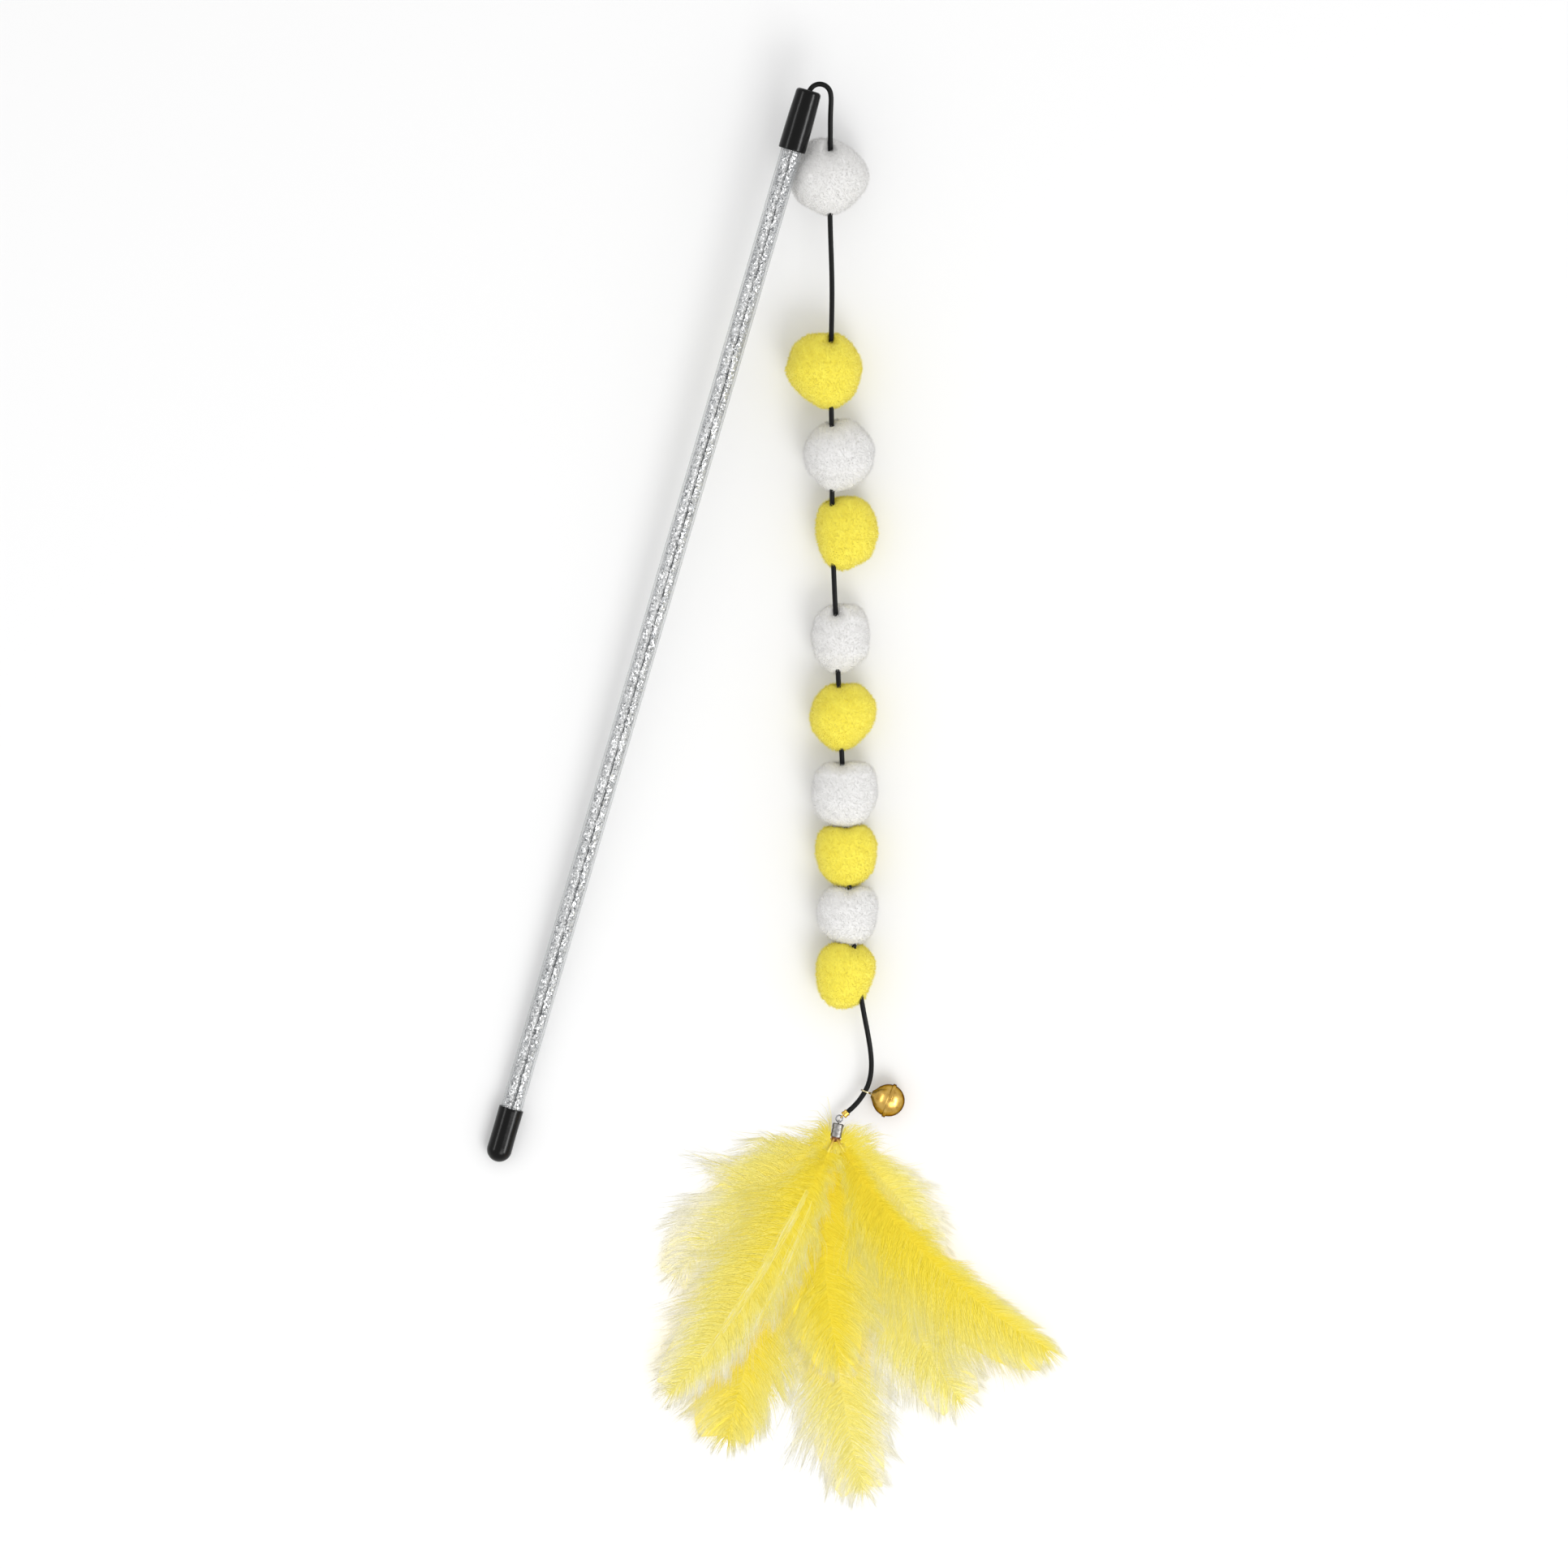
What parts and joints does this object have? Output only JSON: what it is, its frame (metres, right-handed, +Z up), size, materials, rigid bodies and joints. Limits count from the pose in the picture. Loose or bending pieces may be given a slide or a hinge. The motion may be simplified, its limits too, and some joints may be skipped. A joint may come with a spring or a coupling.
{
  "type": "cat teaser wand",
  "caption": "Clear glitter rod with capped ends; a string of soft pompoms and a jingle bell carries a crimped bundle of feathers.",
  "frame": {"origin": "middle of the laid-out toy on the surface it lies on", "axes": "+X across the layout to the right, +Y from the feathers towards the tip of the rod, +Z up from the table"},
  "size_m": [0.2032, 0.5024, 0.0281],
  "materials": {
    "clear_tube": "clear extruded acrylic, glossy",
    "glitter_film": "clear film with silver glitter flakes",
    "black_pvc": "dip-moulded soft PVC, glossy",
    "cord": "round black rubber string, satin",
    "white_pile": "brushed white acrylic pile",
    "yellow_pile": "brushed yellow acrylic pile",
    "bell_brass": "polished stamped brass",
    "bell_wire": "drawn brass wire",
    "steel_ball": "bright steel",
    "cup_brass": "polished brass",
    "silver_wire": "nickel-plated wire",
    "ferrule_metal": "satin drawn aluminium",
    "glue": "brown hot-melt glue",
    "feather_deep": "dyed feather, deep yellow",
    "feather_pale": "dyed feather, pale yellow"
  },
  "bodies": {
    "wand": {"rod_tube": "clear_tube", "glitter_film": "glitter_film", "tip_cap": "black_pvc", "butt_cap": "black_pvc", "tip_knot": "cord"},
    "string": {"cord": "cord", "cord_end_cup": "cup_brass"},
    "pompom_01": {"pompom_01": "white_pile"},
    "pompom_02": {"pompom_02": "yellow_pile"},
    "pompom_03": {"pompom_03": "white_pile"},
    "pompom_04": {"pompom_04": "yellow_pile"},
    "pompom_05": {"pompom_05": "white_pile"},
    "pompom_06": {"pompom_06": "yellow_pile"},
    "pompom_07": {"pompom_07": "white_pile"},
    "pompom_08": {"pompom_08": "yellow_pile"},
    "pompom_09": {"pompom_09": "white_pile"},
    "pompom_10": {"pompom_10": "yellow_pile"},
    "bell": {"bell_upper_shell": "bell_brass", "bell_lower_shell": "bell_brass", "bell_loop": "bell_wire"},
    "bell_ball": {"bell_pellet": "steel_ball"},
    "ring": {"lure_ring": "silver_wire"},
    "lure": {"ferrule": "ferrule_metal", "glue_plug": "glue", "feather_01": "feather_pale", "feather_02": "feather_deep", "feather_03": "feather_deep", "feather_04": "feather_pale", "feather_05": "feather_pale", "feather_06": "feather_deep", "feather_07": "feather_deep", "feather_08": "feather_deep"}
  },
  "joints": [
    {"name": "string_swing", "type": "hinge", "parent": "wand", "child": "string", "pos_m": [0.01045, 0.24875, 0.02365], "axis": [0, 0, 1], "range_deg": [0, 60]},
    {"name": "pompom_01_slide", "type": "slide", "parent": "string", "child": "pompom_01", "axis": [0, -1, 0], "range_m": [0, 0.011]},
    {"name": "pompom_02_slide", "type": "slide", "parent": "string", "child": "pompom_02", "axis": [0, -1, 0], "range_m": [-0.0062, 0.0017]},
    {"name": "pompom_03_slide", "type": "slide", "parent": "string", "child": "pompom_03", "axis": [0, -1, 0], "range_m": [-0.0017, 0.0007]},
    {"name": "pompom_04_slide", "type": "slide", "parent": "string", "child": "pompom_04", "axis": [0.0175, -0.9998, 0], "range_m": [-0.0007, 0.0054]},
    {"name": "pompom_05_slide", "type": "slide", "parent": "string", "child": "pompom_05", "axis": [0.0297, -0.9996, 0], "range_m": [-0.0054, 0.001]},
    {"name": "pompom_06_slide", "type": "slide", "parent": "string", "child": "pompom_06", "axis": [0.0506, -0.9987, 0], "range_m": [-0.001, 0.0014]},
    {"name": "pompom_07_slide", "type": "slide", "parent": "string", "child": "pompom_07", "axis": [0.061, -0.9981, 0], "range_m": [-0.0014, 0.008]},
    {"name": "pompom_08_slide", "type": "slide", "parent": "string", "child": "pompom_08", "axis": [0.0645, -0.9979, 0], "range_m": [-0.0014, 0.008]},
    {"name": "pompom_09_slide", "type": "slide", "parent": "string", "child": "pompom_09", "axis": [0.0889, -0.996, 0], "range_m": [-0.0014, 0.008]},
    {"name": "pompom_10_slide", "type": "slide", "parent": "string", "child": "pompom_10", "axis": [0.1668, -0.986, 0], "range_m": [-0.0014, 0.008]},
    {"name": "bell_flip", "type": "hinge", "parent": "string", "child": "bell", "pos_m": [0.03053, -0.10273, 0.00615], "axis": [-0.4846, -0.8626, -0.1454], "range_deg": [0, 180]},
    {"name": "bell_ball_roll", "type": "hinge", "parent": "bell", "child": "bell_ball", "pos_m": [0.03856, -0.10582, 0.00615], "axis": [-0.9336, 0.3584, 0], "continuous": true},
    {"name": "ring_swing", "type": "hinge", "parent": "string", "child": "ring", "pos_m": [0.02124, -0.11231, 0.005], "axis": [0, 0, 1], "range_deg": [-40, 15]},
    {"name": "lure_lift", "type": "hinge", "parent": "ring", "child": "lure", "pos_m": [0.02102, -0.11344, 0.005], "axis": [-0.9816, 0.1908, 0], "range_deg": [0, 60]}
  ],
  "couplings": [
    {"joint": "pompom_08_slide", "follows": "pompom_07_slide", "ratio": 1},
    {"joint": "pompom_09_slide", "follows": "pompom_07_slide", "ratio": 1},
    {"joint": "pompom_10_slide", "follows": "pompom_07_slide", "ratio": 1}
  ]
}
